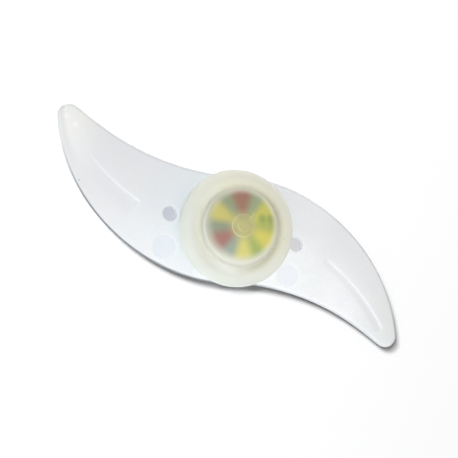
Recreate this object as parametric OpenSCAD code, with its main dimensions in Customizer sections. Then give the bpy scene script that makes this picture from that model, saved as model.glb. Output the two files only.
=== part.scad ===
// Spoke light for a bicycle wheel: a milky S-shaped wing with a soft round cap in the middle.
// Origin: centre of the flat back. +Z points out of the cap, +X runs through the two tie holes.

/* [Wing outline] */
// Distance of each round tip's centre from the hub axis, along the tie hole line
tip_x = 64.4; // [56:0.2:80]
// Distance of each round tip's centre from the tie hole line
tip_y = 24.8; // [18:0.2:30]
// Radius of each round tip
tip_r = 4; // [3:0.1:5.5]
// Half width of the wing across the hub
waist = 19.2; // [18.8:0.1:22]
// Lean of both edges where they pass the hub, in degrees
lean = 11.6; // [6:0.2:16]
// How far the convex edge keeps its lean as it leaves the hub
convex_reach = 22.5; // [18:0.5:27]
// How far the convex edge runs straight into the tip
convex_hold = 35; // [28:0.5:40]
// How far the concave edge keeps its lean as it leaves the hub
concave_reach = 36.5; // [30:0.5:40]
// How far the concave edge runs straight into the tip
concave_hold = 5; // [3:0.5:10]
// Place on the tip circle where the convex edge ends, in degrees
convex_end = 16; // [8:1:24]
// Place on the tip circle where the concave edge ends, in degrees
concave_end = -107; // [-116:1:-98]

/* [Wing section] */
// Thickness of the wing along its edges
plate_h = 3; // [2.8:0.1:5]
// Extra thickness along the middle of the wing
crown_h = 0.6; // [0.2:0.05:1.2]
// Radius of the rounded front edge
edge_r = 1.2; // [0.6:0.1:1.8]
// Radius of the rounded back edge
base_r = 0.5; // [0.3:0.1:0.9]

/* [Veins] */
// Where each vein begins, as a share of the arm
vein_start = 0.43; // [0.4:0.01:0.5]
// Where the right vein ends, as a share of the arm
vein_end = 0.86; // [0.75:0.01:0.9]
// Where the left vein fades out, as a share of the arm
faint_end = 0.74; // [0.6:0.01:0.85]
// Place of the right vein's start across the arm, from the convex edge
vein_v0 = 0.51; // [0.4:0.01:0.6]
// Place of the right vein's end across the arm, from the convex edge
vein_v1 = 0.72; // [0.6:0.01:0.8]
// Place of the left vein's start across its arm, from the convex edge
faint_v0 = 0.47; // [0.4:0.01:0.6]
// Place of the left vein's end across its arm, from the convex edge
faint_v1 = 0.52; // [0.4:0.01:0.8]
// Width of both veins at their start
vein_w0 = 0.8; // [0.4:0.1:1.2]
// Width of the right vein at its round end
vein_w1 = 2.8; // [1.6:0.1:4]
// Width of the left vein where it fades out
faint_w1 = 1.6; // [1:0.1:3]
// Depth of the right vein at its round end
vein_d = 0.7; // [0.4:0.05:1.4]
// Depth of both veins at their start
vein_d0 = 0.35; // [0.2:0.05:0.6]
// Depth of the left vein where it fades out
faint_d = 0.1; // [0.05:0.05:0.4]

/* [Tie holes and pads] */
// Distance between the two tie holes
tie_pitch = 47; // [46:0.5:60]
// Diameter of the tie holes
tie_d = 5.2; // [3:0.1:6]
// Distance of each round pad from the hub axis, along the tie hole line
pad_x = 22.9; // [22.5:0.1:30]
// Distance of the pads from the tie hole line
pad_y = 11.6; // [9:0.1:12]
// Diameter of the pads
pad_d = 8.2; // [4:0.1:9]
// Depth of the pads
pad_depth = 0.2; // [0.1:0.05:0.5]

/* [Hub] */
// Height of the wing's underside above the flat back
back_h = 4.6; // [4.6:0.1:8]
// Radius of the bay for the coin cell
bay_r = 12.2; // [12:0.1:12.6]
// Wall of the bay
bay_wall = 1; // [0.8:0.1:1.2]
// Room between the bay and the back ring, which the screws need
bay_margin = 3.8; // [3.6:0.1:4]
// Wall of the back ring where it meets the wing
back_ring_wall = 1.9; // [1.5:0.1:2.4]
// Radius by which the back ring narrows towards its rim
back_draft = 0.4; // [0:0.05:0.6]
// Outer radius of the front ring
ring_r = 16.7; // [16.6:0.1:17.4]
// Wall of the front ring at its rim
ring_wall = 1.5; // [1.2:0.1:1.8]
// Height of the front ring above the wing
ring_h = 4.2; // [3.8:0.1:5]
// Height of the bead that holds the cap
bead_h = 1; // [0.6:0.1:1.2]
// How far the bead stands out of the front ring
bead_out = 0.4; // [0.2:0.05:0.5]
// Height of the board's seat above the wing
seat_h = 0.6; // [0.4:0.1:0.9]
// Width of the shoulder that carries the inner cover
shoulder_w = 0.9; // [0.6:0.1:1]

/* [Cap] */
// How far the cap's brim stands out of the front ring at its widest
brim_out = 3.8; // [3.5:0.1:5]
// Radius of the brim's round section
brim_tube_r = 3.6; // [3.2:0.1:4]
// Height of the brim's widest line above the wing
brim_rise = 2.7; // [2.4:0.1:3.2]
// How far the cap's foot stands out of the front ring
foot_out = 1.5; // [1.1:0.1:1.7]
// How far the crown lies inside the front ring where it leaves the groove
crown_foot_in = 2.8; // [2.3:0.1:3]
// How far the crown's upper edge lies inside the front ring
crown_in = 3.45; // [3.2:0.05:3.6]
// Height of the crown's upper edge above the front ring
crown_rise = 4.6; // [4.4:0.1:6]
// Radius of the crown's rounded edge
crown_edge_r = 1.1; // [0.6:0.1:1.4]
// How far the crown bulges in its middle
crown_bulge = 1.3; // [0.8:0.1:2]
// Thickness of the crown's skin
skin = 1.3; // [1:0.1:1.5]
// Thickness of the crown's side wall
side_skin = 0.85; // [0.7:0.05:1]
// Thickness of the cap at the bottom of its groove
groove_skin = 1.25; // [1:0.05:1.4]
// Radius of the pip's lower step
pip_r = 3.9; // [3.2:0.1:5]
// Radius of the pip's upper step
pip_top_r = 2.15; // [1.6:0.05:2.8]
// Height of each of the pip's steps
pip_step = 0.35; // [0.2:0.05:0.5]
// How much wider the nib under the pip is than the plunger's radius
nib_out = 0.5; // [0.3:0.1:0.8]

/* [Inner cover and colour disc] */
// Thickness of the inner cover's flange
flange_h = 1.2; // [0.8:0.1:1.4]
// Wall of the inner cover
cover_wall = 1; // [0.8:0.1:1.3]
// Height of the inner cover's top above the front ring
cover_rise = 3.8; // [3.6:0.1:4.4]
// Thickness of the colour disc
disc_h = 0.3; // [0.2:0.05:0.4]
// Radius of the guide in the middle of the inner cover
guide_r = 2.9; // [2.6:0.1:3.4]
// Height of the guide above the inner cover
guide_h = 0.7; // [0.5:0.1:0.8]

/* [Switch] */
// Side of the switch
switch_side = 6.2; // [5.8:0.1:6.6]
// Height of the switch's base
switch_h = 3.1; // [2.9:0.1:3.2]
// Thickness of the switch's metal plate
switch_plate_h = 0.3; // [0.2:0.05:0.4]
// Radius of the switch's stem
stem_r = 1.7; // [1.4:0.1:1.9]
// Height of the stem's top above the board
stem_h = 4.8; // [4.4:0.1:4.8]
// Radius of the plunger
plunger_r = 1.5; // [1.2:0.1:1.8]
// How far the plunger stands out of its guide
plunger_out = 0.4; // [0.3:0.05:0.5]
// Travel of the switch
travel = 0.3; // [0.2:0.05:0.35]
// Height of the switch's floor above the board
floor_h = 0.8; // [0.6:0.05:1]
// Height of the dome that snaps under the stem
dome_h = 0.7; // [0.5:0.05:0.8]
// Wall of the switch's base
switch_wall = 0.5; // [0.4:0.05:0.7]
// Thickness of the dome's sheet
dome_sheet = 0.12; // [0.08:0.01:0.15]
// Length, width and thickness of the switch's solder feet
switch_foot = [1, 0.7, 0.2];

/* [Circuit board] */
// Thickness of the circuit board
board_h = 1; // [0.8:0.1:1.2]
// Radius of the lamps
led_r = 1.5; // [1.3:0.05:1.5]
// Wall of the wing behind the lamps
led_wall = 0.4; // [0.3:0.05:0.5]
// Length of the lamps' straight body
led_len = 3.2; // [2.6:0.1:3.3]
// Radius of the lamps' flange
led_flange_r = 1.85; // [1.7:0.05:1.9]
// Thickness of the lamps' flange
led_flange_h = 0.9; // [0.6:0.1:1]
// Direction in which the lamps shine, in degrees from the tie hole line
led_turn = -21; // [-28:1:-14]
// Distance between a lamp's two legs
leg_pitch = 2.54; // [2:0.02:2.6]
// Side of a lamp's leg
leg_side = 0.5; // [0.4:0.05:0.6]
// Radius and height of the resin over the control chip
resin_r = 2.6; // [2:0.1:3]
resin_h = 1.2; // [0.8:0.1:1.5]
// Length, width and height of the resistors
resistor_size = [1.3, 2, 0.5];
// Length, width and height of the capacitor
capacitor_size = [1.6, 3.2, 1.1];

/* [Coin cell] */
// Diameter of the coin cell
cell_d = 20; // [19.6:0.1:20]
// Thickness of the coin cell
cell_h = 3.2; // [2.5:0.1:3.2]
// Thickness of the contact metal
contact_h = 0.25; // [0.2:0.05:0.3]
// Width of the spring that presses on the cell
spring_w = 4.5; // [3:0.1:6]
// Gap between the cell's side and the clip
clip_gap = 0.05; // [0.02:0.01:0.1]
// Length of the clip's foot under the board
clip_foot = 2.5; // [2:0.1:3]
// Angle that the clip takes up round the cell
clip_reach = 26; // [16:1:36]
// Width of the cell's sealing step
cell_step = 0.5; // [0.4:0.05:0.6]

/* [Back cover] */
// Thickness of the back cover
lid_h = 1.6; // [1.4:0.1:1.8]
// How far the back cover lies inside the rim
lid_inset = 0.2; // [0.1:0.05:0.4]
// Height of the ring on the cover that centres the cell
spigot_h = 2.2; // [2:0.1:2.4]
// Diameter of the sealing ring's section
seal_d = 0.9; // [0.7:0.05:1]
// Distance of the screws from the bay's edge
screw_out = 2; // [1.9:0.05:2.1]
// Radius of the screws' shank
screw_r = 0.95; // [0.8:0.05:1]
// Radius of the screws' head
screw_head_r = 1.6; // [1.4:0.05:1.65]
// Height of the screws' head
screw_head_h = 1; // [0.8:0.1:1.2]
// Width and depth of the cross in the screws' head
screw_cross = [0.4, 0.5];
// Length of the screws
screw_l = 6; // [5:0.1:6.4]
// Radius of the bosses that take the screws
boss_r = 2.1; // [2:0.05:2.2]

/* [Hidden] */
$fn = 72;
// Clearances: between seated pieces, between sliding pieces, and where pieces stay apart
fit = 0.1;
slide_fit = 0.08;
apart = 0.3;
// Gap left round the sealing ring, which the real ring fills by being squeezed
seal_gap = 0.06;
// Overlap that lets cuts run past a face
cut = 0.5;

// Heights, from the flat back upwards
plate_z = back_h;
edge_z = plate_z + plate_h;
land_z = edge_z + crown_h + fit;
board_z = land_z + seat_h;
board_top = board_z + board_h;
ring_top = land_z + ring_h;
bead_z = ring_top - bead_h * 1.5;
shoulder_z = ring_top - flange_h;
cover_top = ring_top + cover_rise;
crown_z = ring_top + crown_rise;
stem_top = board_top + stem_h;
plunger_h = cover_top + guide_h + plunger_out - stem_top;
lid_top = lid_inset + lid_h;
cell_top = lid_top + cell_h;
clip_z = lid_top + cell_h * 0.3;
bay_roof = plate_z - led_wall;
led_z = plate_z + led_r + led_wall;

// Radii that follow from their neighbours
back_bore_r = bay_r + bay_margin;
back_ring_r = back_bore_r + back_ring_wall;
screw_at = bay_r + screw_out;
brim_r = ring_r + brim_out;
foot_r = ring_r + foot_out;
crown_foot_r = ring_r - crown_foot_in;
crown_r = ring_r - crown_in;
land_r = foot_r + 2 * fit;
ring_in = ring_r - ring_wall;
board_seat_r = ring_in - shoulder_w;
board_r = board_seat_r - 2 * fit;
flange_r = ring_in - fit;
cap_in = crown_r - side_skin;
cover_r = cap_in - apart;
disc_r = cover_r - apart;
lid_r = back_bore_r - fit;
cell_r = cell_d / 2;
clip_r = cell_r + contact_h + clip_gap;
spigot_in = clip_r + 2 * fit;
spigot_r = bay_r - 2 * fit;
seal_r = bay_r - seal_d / 2 - seal_gap;
led_back = bay_r - led_flange_h - apart - fit;
led_tip = led_back + led_flange_h + led_len + led_r;
leg_r = led_back - 2.2 * leg_side;
screw_turn = led_turn + 90;

// Cubic curve through p[0] and p[3], drawn towards p[1] and p[2]
function bez(p, t) =
    pow(1 - t, 3) * p[0] + 3 * pow(1 - t, 2) * t * p[1]
    + 3 * (1 - t) * t * t * p[2] + pow(t, 3) * p[3];
function polar(r, a) = r * [cos(a), sin(a)];
function mix(a, b, k) = a * (1 - k) + b * k;
function unit(v) = v / norm(v);

// Both edges of one arm. Each is a curve from the hub to the tip circle, then half of the round tip.
tip = [tip_x, -tip_y];
convex_tip = tip + polar(tip_r, convex_end);
concave_tip = tip + polar(tip_r, concave_end);
convex = [[0, waist], [0, waist] + polar(convex_reach, lean),
    convex_tip + polar(convex_hold, convex_end + 90), convex_tip];
concave = [[0, -waist], [0, -waist] + polar(concave_reach, lean),
    concave_tip + polar(concave_hold, concave_end - 90), concave_tip];
arm_steps = 24;
tip_steps = 6;
last = arm_steps + tip_steps;
tip_middle = (convex_end + concave_end) / 2;
tip_share = 0.94;

function convex_edge(i) =
    i <= arm_steps ? bez(convex, i / arm_steps)
    : tip + polar(tip_r, mix(convex_end, tip_middle, tip_share * (i - arm_steps) / tip_steps));
function concave_edge(i) =
    i <= arm_steps ? bez(concave, i / arm_steps)
    : tip + polar(tip_r, mix(concave_end, tip_middle, tip_share * (i - arm_steps) / tip_steps));

// The whole wing's upper and lower edge, from the left tip to the right one. A half turn swaps them.
upper = [for (i = [-last : last]) i < 0 ? -concave_edge(-i) : convex_edge(i)];
lower = [for (i = [-last : last]) i < 0 ? -convex_edge(-i) : concave_edge(i)];
stations = len(upper);
function along(line, i) =
    unit(line[min(i + 1, stations - 1)] - line[max(i - 1, 0)]);
function inward(line, i, side) = let (t = along(line, i)) side * [t[1], -t[0]];

// Front and back edge as [distance inwards, height], from the back face round to the front face
edge_profile = concat(
    [for (a = [90 : -45 : 0]) [base_r * (1 - cos(a)), plate_z + base_r * (1 - sin(a))]],
    [for (a = [0 : 22.5 : 90]) [edge_r * (1 - cos(a)), edge_z - edge_r * (1 - sin(a))]]);
crown_steps = 8;
crown_span = 34;
function crown(v, width) = crown_h * 4 * v * (1 - v) * min(1, width / crown_span);

// The pads lie parallel to the crown where they are
pad_z = edge_z + crown(0.5 - pad_y / crown_span, crown_span) - pad_depth;
pad_lean = atan(8 * crown_h * pad_y / pow(crown_span, 2));

// One closed section of the wing: up the upper edge, across the crowned front, down the lower edge
function side_points(line, i, side) = let (n = inward(line, i, side))
    [for (p = edge_profile) concat(line[i] + p[0] * n, [p[1]])];
function section(i) = let (
        a = side_points(upper, i, 1),
        b = side_points(lower, i, -1),
        k = len(edge_profile) - 1,
        width = norm(a[k] - b[k]))
    concat(a,
        [for (j = [1 : crown_steps - 1]) let (v = j / crown_steps)
            mix(a[k], b[k], v) + [0, 0, crown(v, width)]],
        [for (j = [k : -1 : 0]) b[j]]);

// Skin between equal closed sections. Each end is closed like a ladder, between the section's two halves.
module loft(rings) {
    n = len(rings[0]);
    m = len(rings);
    ladder = [for (j = [0 : floor((n - 1) / 2) - 1]) each concat([[j, j + 1, n - 1 - j]],
        j + 1 < n - 2 - j ? [[j + 1, n - 2 - j, n - 1 - j]] : [])];
    walls = [for (i = [0 : m - 2]) for (j = [0 : n - 1]) let (k = (j + 1) % n)
        each [[i * n + j, (i + 1) * n + j, i * n + k], [i * n + k, (i + 1) * n + j, (i + 1) * n + k]]];
    far = [for (f = ladder) [f[0], f[2], f[1]] + (m - 1) * n * [1, 1, 1]];
    polyhedron(points = [for (r = rings) each r], faces = concat(walls, ladder, far), convexity = 8);
}

module blade() {
    loft([for (i = [0 : stations - 1]) section(i)]);
}

vein_bend = 1.15;
// A vein's middle line on one arm, with the wing's own height there
function vein_at(u, end, v0, v1) = let (
        t = mix(vein_start, end, u),
        v = mix(v0, v1, pow(u, vein_bend)),
        a = bez(convex, t),
        b = bez(concave, t))
    concat(mix(a, b, v), [edge_z + crown(v, norm(a - b))]);
vein_steps = 16;
vein_sides = 8;
// A round groove section below the surface and a straight one above it
function vein_ring(p, across, w, d) = concat(
    [for (k = [0 : vein_sides]) let (a = 180 * k / vein_sides)
        p + concat(across * cos(a) * w / 2, [-d * sin(a)])],
    [p + concat(-across * w / 2, [cut]), p + concat(across * w / 2, [cut])]);
module vein(end, v0, v1, w1, d1) {
    round_off = [15, 40, 65, 85];
    line = [for (i = [0 : vein_steps]) vein_at(i / vein_steps, end, v0, v1)];
    end_dir = unit([for (k = [0, 1]) line[vein_steps][k] - line[vein_steps - 1][k]]);
    rings = concat(
        [for (i = [0 : vein_steps]) let (
                u = i / vein_steps,
                p = line[max(i - 1, 0)],
                q = line[min(i + 1, vein_steps)],
                t = unit([q[0] - p[0], q[1] - p[1]]))
            vein_ring(line[i], [t[1], -t[0]], mix(vein_w0, w1, u), mix(vein_d0, d1, u))],
        [for (a = round_off)
            vein_ring(line[vein_steps] + concat(end_dir * sin(a) * w1 / 2, [0]),
                [end_dir[1], -end_dir[0]], w1 * cos(a), d1 * cos(a))]);
    loft(rings);
}

// Both lamps, a half turn apart
module at_leds() {
    for (turn = [led_turn, led_turn + 180]) rotate(turn) children();
}
module at_screws() {
    for (k = [0 : 2]) rotate(screw_turn + 120 * k) translate([screw_at, 0]) children();
}
module tube(outer, inner, low, high) {
    difference() {
        disc(outer, low, high);
        disc(inner, low - cut, high + cut);
    }
}
// A ring turned from a closed outline of [radius, height] points
module turned(outline) {
    rotate_extrude() polygon(outline);
}

module disc(radius, low, high) {
    translate([0, 0, low]) cylinder(r = radius, h = high - low);
}
module hub_back() {
    rim_r = back_ring_r - back_draft;
    turned([[back_bore_r, 0], [rim_r - base_r, 0], [rim_r, base_r],
        [back_ring_r, plate_z + cut], [back_bore_r, plate_z + cut]]);
    disc(bay_r + bay_wall, lid_top, plate_z + cut);
    disc(back_ring_r - cut, bay_roof, plate_z + cut);
    at_screws() disc(boss_r, lid_top, plate_z + cut);
}

module hub_front() {
    bead = bead_h / 2;
    disc(land_r, edge_z - cut, land_z);
    disc(ring_in + ring_wall / 2, edge_z - cut, board_z);
    turned([[ring_in, edge_z - cut], [ring_r, edge_z - cut],
        [ring_r, bead_z - bead], [ring_r + bead_out, bead_z - bead / 3],
        [ring_r + bead_out, bead_z + bead / 3], [ring_r, bead_z + bead],
        [ring_r, ring_top], [ring_in, ring_top], [ring_in, shoulder_z], [board_seat_r, shoulder_z],
        [board_seat_r, board_z - cut], [ring_in, board_z - cut]]);
}

module wing() {
    color("#eef1f6")
    difference() {
        union() {
            difference() {
                blade();
                vein(vein_end, vein_v0, vein_v1, vein_w1, vein_d);
                rotate(180) vein(faint_end, faint_v0, faint_v1, faint_w1, faint_d);
                for (s = [-1, 1]) translate([s * pad_x, -pad_y, pad_z]) rotate([pad_lean, 0, 0])
                    cylinder(r = pad_d / 2, h = pad_depth + cut);
            }
            hub_back();
            hub_front();
        }
        disc(bay_r, lid_top - cut, board_z + cut);
        for (s = [-1, 1]) translate([s * tie_pitch / 2, 0, plate_z - cut])
            cylinder(r = tie_d / 2, h = land_z - plate_z + 2 * cut);
        at_leds() translate([bay_r - cut, 0, led_z]) rotate([0, 90, 0])
            cylinder(r = led_r + fit, h = led_tip + fit - bay_r + cut);
        at_screws() translate([0, 0, lid_top - cut])
            cylinder(r = screw_r + fit / 2, h = screw_l - lid_h + cut + apart);
    }
}

// Outline of the soft cap: foot, brim, groove, crown and pip outside, then the hollow inside
brim_z = land_z + brim_rise;
brim_mid = brim_r - brim_tube_r;
dome_edge_r = crown_r - crown_edge_r * (1 - cos(78));
dome_z = crown_z + crown_edge_r * sin(78);
dome_r = (dome_edge_r * dome_edge_r + crown_bulge * crown_bulge) / (2 * crown_bulge);
function dome(r, down) = dome_z + crown_bulge - dome_r
    + sqrt(pow(dome_r - down, 2) - r * r);
cap_round = 0.12;
groove_round = 0.4;
corner = 0.9;
nib_r = plunger_r + nib_out;
nib_z = stem_top + plunger_h + apart;
dome_shares = [0 : 0.25 : 1];
cap_outside = concat(
    [[ring_r + fit, land_z], [foot_r, land_z]],
    [for (a = [-30 : 12 : 126]) [brim_mid, brim_z] + polar(brim_tube_r, a)],
    [[crown_foot_r + groove_round, ring_top + groove_skin],
        [crown_foot_r, ring_top + groove_skin + groove_round]],
    [for (a = [0 : 13 : 78]) [crown_r - crown_edge_r, crown_z] + polar(crown_edge_r, a)],
    [for (k = dome_shares) if (k > 0) let (r = mix(dome_edge_r, pip_r + 2 * cap_round, k)) [r, dome(r, 0)]],
    [for (step = [[pip_r, 0], [pip_top_r, pip_step]]) let (z = dome(step[0], 0) + step[1])
        each [[step[0] + cap_round, z], [step[0], z + cap_round], [step[0] - cap_round, z + pip_step]]],
    [[0, dome(0, 0) + 2 * pip_step]]);
cap_inside = concat(
    [[0, nib_z], [nib_r, nib_z]],
    [for (k = dome_shares) let (r = mix(nib_r + cap_round, cap_in - corner, k)) [r, dome(r, skin)]],
    [[cap_in, dome(cap_in - corner, skin) - corner * 2 / 3], [cap_in, ring_top],
        [ring_r + fit, ring_top], [ring_r + fit, bead_z + bead_h / 2],
        [ring_r + bead_out + fit, bead_z + bead_h / 6], [ring_r + bead_out + fit, bead_z - bead_h / 6],
        [ring_r + fit, bead_z - bead_h / 2]]);

module front_cap() {
    color("#e4e8dc") turned(concat(cap_outside, cap_inside));
}

module inner_cover() {
    color("#f2f4f6", 0.5)
    difference() {
        turned([[cover_r - cover_wall, shoulder_z], [flange_r, shoulder_z], [flange_r, ring_top],
            [cover_r, ring_top], [cover_r, cover_top], [guide_r, cover_top],
            [guide_r, cover_top + guide_h], [0, cover_top + guide_h],
            [0, cover_top - cover_wall], [cover_r - cover_wall, cover_top - cover_wall]]);
        translate([0, 0, cover_top - cover_wall - cut])
            cylinder(r = plunger_r + slide_fit, h = cover_wall + guide_h + 2 * cut);
    }
}

module colour_disc() {
    color("#d9c22b") translate([0, 0, cover_top]) difference() {
        cylinder(r = disc_r, h = disc_h);
        translate([0, 0, -cut]) cylinder(r = guide_r + fit, h = disc_h + 2 * cut);
    }
}

module plunger() {
    flange = plunger_r / 2;
    color("#f4f4f0") translate([0, 0, stem_top]) {
        cylinder(r = plunger_r, h = plunger_h);
        cylinder(r = plunger_r + flange, h = cover_top - cover_wall - stem_top - 2 * fit);
    }
}

module circuit_board() {
    color("#2f7d4f") difference() {
        translate([0, 0, board_z]) cylinder(r = board_r, h = board_h);
        at_leds() for (s = [-1, 1]) translate([leg_r, s * leg_pitch / 2, board_z - cut])
            cylinder(r = leg_side * 0.9, h = board_h + 2 * cut);
    }
}

module led() {
    translate([led_back, 0, led_z]) rotate([0, 90, 0]) {
        cylinder(r = led_flange_r, h = led_flange_h);
        cylinder(r = led_r, h = led_flange_h + led_len);
        translate([0, 0, led_flange_h + led_len]) sphere(r = led_r);
    }
    for (s = [-1, 1]) translate([leg_r - leg_side / 2, s * leg_pitch / 2 - leg_side / 2, 0]) {
        translate([0, 0, led_z - leg_side / 2]) cube([led_back - leg_r + leg_side, leg_side, leg_side]);
        translate([0, 0, led_z - leg_side / 2])
            cube([leg_side, leg_side, board_top - led_z + 1.7 * leg_side]);
    }
}
module led_right() {
    color("#f6f8fb", 0.6) rotate(led_turn) led();
}
module led_left() {
    color("#f6f8fb", 0.6) rotate(led_turn + 180) led();
}

switch_floor = board_top + floor_h;
switch_top = board_top + switch_h;
well_r = switch_side / 2 - switch_wall;
module switch_base() {
    side = switch_side;
    foot = switch_foot;
    color("#26272b") difference() {
        union() {
            translate([-side / 2, -side / 2, board_top]) cube([side, side, switch_h]);
            for (turn = [0, 180]) rotate(turn) for (y = [-0.36, 0.36])
                translate([side / 2 - foot[0] / 2, y * side - foot[1] / 2, board_top]) cube(foot);
        }
        translate([0, 0, switch_floor]) cylinder(r = well_r, h = switch_h);
    }
}

module switch_dome() {
    rim = well_r - fit;
    flat = rim * 0.45;
    color("#c9ccd1") translate([0, 0, switch_floor])
        turned([[0, dome_h - dome_sheet], [flat, dome_h - dome_sheet], [rim - dome_sheet, 0], [rim, 0],
            [flat, dome_h], [0, dome_h]]);
}

module switch_stem() {
    foot = switch_floor + dome_h + travel + fit;
    flange_top = switch_top - fit;
    flange = (flange_top - foot) / 2;
    color("#3a3c42") {
        translate([0, 0, foot]) cylinder(r = stem_r, h = stem_top - foot);
        translate([0, 0, flange_top - flange]) cylinder(r = stem_r + flange, h = flange);
    }
}

module switch_plate() {
    side = switch_side;
    color("#c3c6cb") difference() {
        translate([-side / 2, -side / 2, switch_top]) cube([side, side, switch_plate_h]);
        translate([0, 0, switch_top - cut]) cylinder(r = stem_r + slide_fit, h = switch_plate_h + 2 * cut);
    }
}

// Places on the board, as shares of its radius
near_switch = 0.47;
near_edge = 0.61;
module control_chip() {
    color("#17181a") rotate(led_turn + 90) translate([near_edge * board_r, 0, board_top])
        turned(concat([[0, 0]], [for (a = [0 : 18 : 90]) [resin_r * cos(a), resin_h * sin(a)]]));
}
module chip_part(share, turn, size, tone) {
    color(tone) rotate(turn) translate([share * board_r - size[0] / 2, -size[1] / 2, board_top]) cube(size);
}
module resistor_a() {
    chip_part(near_switch, led_turn, resistor_size, "#202226");
}
module resistor_b() {
    chip_part(near_switch, led_turn + 180, resistor_size, "#202226");
}
module capacitor() {
    chip_part(near_edge, led_turn - 90, capacitor_size, "#b98d5c");
}

// The positive contact: a strip soldered under the board that reaches down the cell's side
module cell_clip() {
    color("#cfd2d6") rotate(led_turn - 90 - clip_reach / 2) {
        translate([0, 0, clip_z])
            rotate_extrude(angle = clip_reach) translate([cell_r + clip_gap, 0])
                square([contact_h, board_z - clip_z]);
        translate([0, 0, board_z - contact_h])
            rotate_extrude(angle = clip_reach) translate([clip_r - clip_foot, 0])
                square([clip_foot, contact_h]);
    }
}

// The negative contact: a leaf soldered under the board that bends down onto the cell
module cell_spring() {
    h = contact_h;
    foot = [0.8, 0.4] * cell_r;
    toe = [0.22, 0.3, 0.4, 0.48, 0.51] * cell_r;
    lift = cell_top + 0.04 * cell_r;
    color("#cfd2d6") rotate(led_turn + 90) translate([0, spring_w / 2, 0]) rotate([90, 0, 0])
        linear_extrude(height = spring_w)
            polygon([[foot[0], board_z], [foot[0], board_z - h], [foot[1], board_z - h], [-toe[0], lift],
                [-toe[1], cell_top], [-toe[2], cell_top], [-toe[3], lift], [-toe[4], lift + h],
                [-toe[2], cell_top + h], [-toe[1], cell_top + h], [-toe[0], lift + h],
                [foot[1] - h / 2, board_z]]);
}

module coin_cell() {
    step = cell_step;
    can_h = cell_h - step * 0.7;
    inner_r = cell_r - 2.2 * step;
    color("#c8cacd") translate([0, 0, lid_top])
        turned([[0, 0], [cell_r - step, 0], [cell_r, step],
            [cell_r, can_h - step / 2], [cell_r - step / 2, can_h],
            [inner_r, can_h], [inner_r, can_h - step / 2], [inner_r - step, can_h - step / 2],
            [inner_r - 1.5 * step, cell_h], [0, cell_h]]);
}

module back_cover() {
    groove_in = seal_r - seal_d / 2 - seal_gap;
    groove_z = lid_top + spigot_h / 2;
    groove_h = seal_d + 2 * seal_gap;
    bevel = 0.3;
    color("#eef1f6") difference() {
        union() {
            turned([[0, lid_inset], [lid_r - bevel, lid_inset], [lid_r, lid_inset + bevel],
                [lid_r, lid_top], [0, lid_top]]);
            tube(spigot_r, spigot_in, lid_top - bevel, lid_top + spigot_h);
        }
        tube(bay_r + bay_wall, groove_in, groove_z - groove_h / 2, groove_z + groove_h / 2);
        at_screws() screw_space(fit);
    }
}
// Space that a screw takes up in the back cover, grown by a clearance
module screw_space(gap) {
    translate([0, 0, lid_inset - cut]) cylinder(r = screw_r + gap, h = lid_h + 2 * cut);
    translate([0, 0, lid_inset]) cylinder(r1 = screw_head_r + gap, r2 = screw_r + gap, h = screw_head_h);
}

module cover_seal() {
    color("#30343a") translate([0, 0, lid_top + spigot_h / 2])
        rotate_extrude() translate([seal_r, 0]) circle(r = seal_d / 2);
}

module cover_screws() {
    color("#9ea2a8") at_screws() difference() {
        union() {
            translate([0, 0, lid_inset]) cylinder(r = screw_r, h = screw_l);
            translate([0, 0, lid_inset]) cylinder(r1 = screw_head_r, r2 = screw_r, h = screw_head_h);
        }
        for (turn = [0, 90]) rotate(turn)
            translate([-screw_head_r / 2, -screw_cross[0] / 2, lid_inset - cut])
                cube([screw_head_r, screw_cross[0], screw_cross[1] + cut]);
    }
}

wing();
front_cap();
inner_cover();
colour_disc();
plunger();
circuit_board();
led_right();
led_left();
switch_base();
switch_dome();
switch_stem();
switch_plate();
control_chip();
resistor_a();
resistor_b();
capacitor();
cell_clip();
cell_spring();
coin_cell();
back_cover();
cover_seal();
cover_screws();
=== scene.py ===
# %% [markdown]
# # A spoke light, dressed for its photograph
# The real object is a light for a bicycle wheel. An S-shaped wing of milky plastic glows as the wheel
# turns, and a soft round cap in its middle is pushed to switch it on. The solid part already exists, so
# this lesson only gives it its surfaces, its finishes, its light and its camera. The first cell loads the
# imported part. Everything is in metres, and the flat back lies at height zero.

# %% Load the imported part
import bpy
import bmesh
import numpy as np
from mathutils import Matrix, Vector


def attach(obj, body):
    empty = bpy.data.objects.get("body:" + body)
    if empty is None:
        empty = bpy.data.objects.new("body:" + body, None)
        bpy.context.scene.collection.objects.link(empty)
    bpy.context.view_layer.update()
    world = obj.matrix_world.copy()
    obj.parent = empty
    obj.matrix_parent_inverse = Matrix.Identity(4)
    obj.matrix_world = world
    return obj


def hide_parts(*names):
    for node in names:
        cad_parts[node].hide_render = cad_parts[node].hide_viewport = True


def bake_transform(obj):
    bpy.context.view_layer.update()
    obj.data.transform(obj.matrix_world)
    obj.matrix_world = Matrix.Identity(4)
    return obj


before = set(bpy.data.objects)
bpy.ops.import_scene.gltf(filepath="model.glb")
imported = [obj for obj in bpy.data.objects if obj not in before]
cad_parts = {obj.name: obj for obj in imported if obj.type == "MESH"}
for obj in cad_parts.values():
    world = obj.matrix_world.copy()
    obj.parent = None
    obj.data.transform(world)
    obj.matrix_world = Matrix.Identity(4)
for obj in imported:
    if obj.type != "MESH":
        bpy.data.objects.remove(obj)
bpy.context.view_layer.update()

# %% [markdown]
# ## The camera
# The photograph looks almost straight down on the cap, tilted by 17 degrees towards the lower left. The
# tilt comes from the shapes that circles take in the picture: the brim, the crown and the pip shift against
# each other with their height. The camera is close, so its three directions are written out and the
# distance is kept, because that makes the left arm look larger than the right one. The picture shows the
# point that the camera looks at slightly off its centre, so the camera is moved sideways by as much.

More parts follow.
